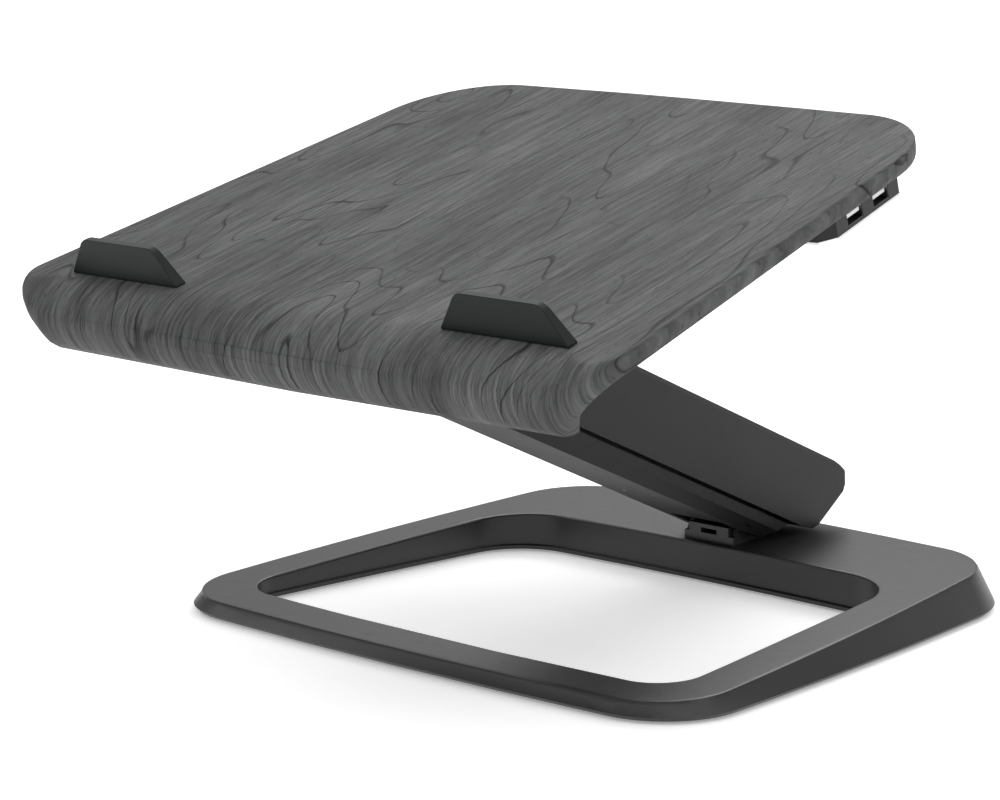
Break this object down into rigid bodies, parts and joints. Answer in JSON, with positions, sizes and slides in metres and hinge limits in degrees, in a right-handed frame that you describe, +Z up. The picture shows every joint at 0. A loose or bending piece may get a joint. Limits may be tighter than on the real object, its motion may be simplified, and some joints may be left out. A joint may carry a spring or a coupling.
{
  "type": "laptop riser",
  "caption": "Adjustable laptop riser: wood-grain tilting platform with front stops and a side USB hub, on a parallel-link arm over a wedge-shaped ring base.",
  "frame": {"origin": "on the resting surface, below the middle of the whole object's box", "axes": "+Z up, +Y towards the rear of the riser, +X to the right as seen by its user"},
  "size_m": [0.3574, 0.3746, 0.2421],
  "materials": {
    "base_plastic": "satin",
    "base_plate_steel": "satin black",
    "ballast_steel": "zinc plated",
    "foot_rubber": "matte",
    "zinc_screws": "zinc plated",
    "bracket_steel": "powder coat",
    "pin_steel": "ground",
    "bush_nylon": "moulded",
    "arm_plastic": "fine texture",
    "tray_plastic": "fine texture",
    "cylinder_paint": "gloss black",
    "rod_chrome": "polished",
    "wood_grain": "charcoal wood grain, satin",
    "under_plastic": "fine texture",
    "stop_plastic": "satin",
    "hub_plastic": "satin",
    "hub_cover_aluminium": "satin",
    "socket_steel": "plated",
    "socket_plastic": "moulded",
    "circuit_board": "solder mask"
  },
  "bodies": {
    "base": {"base_shell": "base_plastic", "base_plate": "base_plate_steel", "ballast_plate": "ballast_steel", "rubber_feet": "foot_rubber", "base_plate_screws": "zinc_screws", "hinge_bracket": "bracket_steel", "bracket_screws": "zinc_screws", "main_pivot_pin": "pin_steel", "main_pivot_bushes": "bush_nylon", "rear_link_pins": "pin_steel", "rear_link_washers": "bush_nylon", "spring_anchor_pin": "pin_steel"},
    "upper_arm": {"upper_arm_channel": "bracket_steel", "upper_arm_cover": "arm_plastic", "arm_cover_screws": "zinc_screws", "gas_spring_cylinder": "cylinder_paint", "gas_spring_gland": "bush_nylon", "spring_front_pin": "pin_steel"},
    "lower_link": {"lower_link_rails": "bracket_steel", "lower_arm_tray": "tray_plastic", "arm_tray_screws": "zinc_screws"},
    "gas_rod": {"gas_spring_rod": "rod_chrome", "rod_eye": "bracket_steel"},
    "head": {"head_bracket": "bracket_steel", "head_pivot_pin": "pin_steel", "head_pivot_bushes": "bush_nylon", "front_link_pins": "pin_steel", "front_link_washers": "bush_nylon", "tilt_pin": "pin_steel", "tilt_friction_washers": "pin_steel", "tilt_nuts": "zinc_screws"},
    "platform": {"platform_panel": "wood_grain", "platform_under_cover": "under_plastic", "platform_stiffener": "ballast_steel", "tilt_mount_plate": "bracket_steel", "mount_plate_screws": "zinc_screws", "under_cover_screws": "zinc_screws", "left_stop": "stop_plastic", "right_stop": "stop_plastic", "hub_housing": "hub_plastic", "hub_bottom_cover": "hub_cover_aluminium", "usb_socket_shells": "socket_steel", "usb_socket_tongues": "socket_plastic", "hub_circuit_board": "circuit_board", "hub_uplink_socket": "socket_steel", "hub_screws": "zinc_screws"}
  },
  "joints": [
    {"name": "arm_lift", "type": "hinge", "parent": "base", "child": "upper_arm", "pos_m": [0, 0.15843, 0.0502], "axis": [-1, 0, 0], "range_deg": [-24, 24]},
    {"name": "link_swing", "type": "hinge", "parent": "base", "child": "lower_link", "pos_m": [0, 0.12383, 0.0351], "axis": [-1, 0, 0], "range_deg": [-24, 24]},
    {"name": "head_level", "type": "hinge", "parent": "upper_arm", "child": "head", "pos_m": [0, -0.07818, 0.15554], "axis": [-1, 0, 0], "range_deg": [-24, 24]},
    {"name": "gas_rod_slide", "type": "slide", "parent": "upper_arm", "child": "gas_rod", "axis": [0, 0.9135, -0.4067], "range_m": [-0.0056, 0.0056]},
    {"name": "platform_tilt", "type": "hinge", "parent": "head", "child": "platform", "pos_m": [0, -0.09208, 0.17025], "axis": [1, 0, 0], "range_deg": [-15.3, 20]}
  ],
  "couplings": [
    {"joint": "link_swing", "follows": "arm_lift", "ratio": 1},
    {"joint": "head_level", "follows": "arm_lift", "ratio": -1},
    {"joint": "gas_rod_slide", "follows": "arm_lift", "m_per_rad": 0.0126}
  ]
}
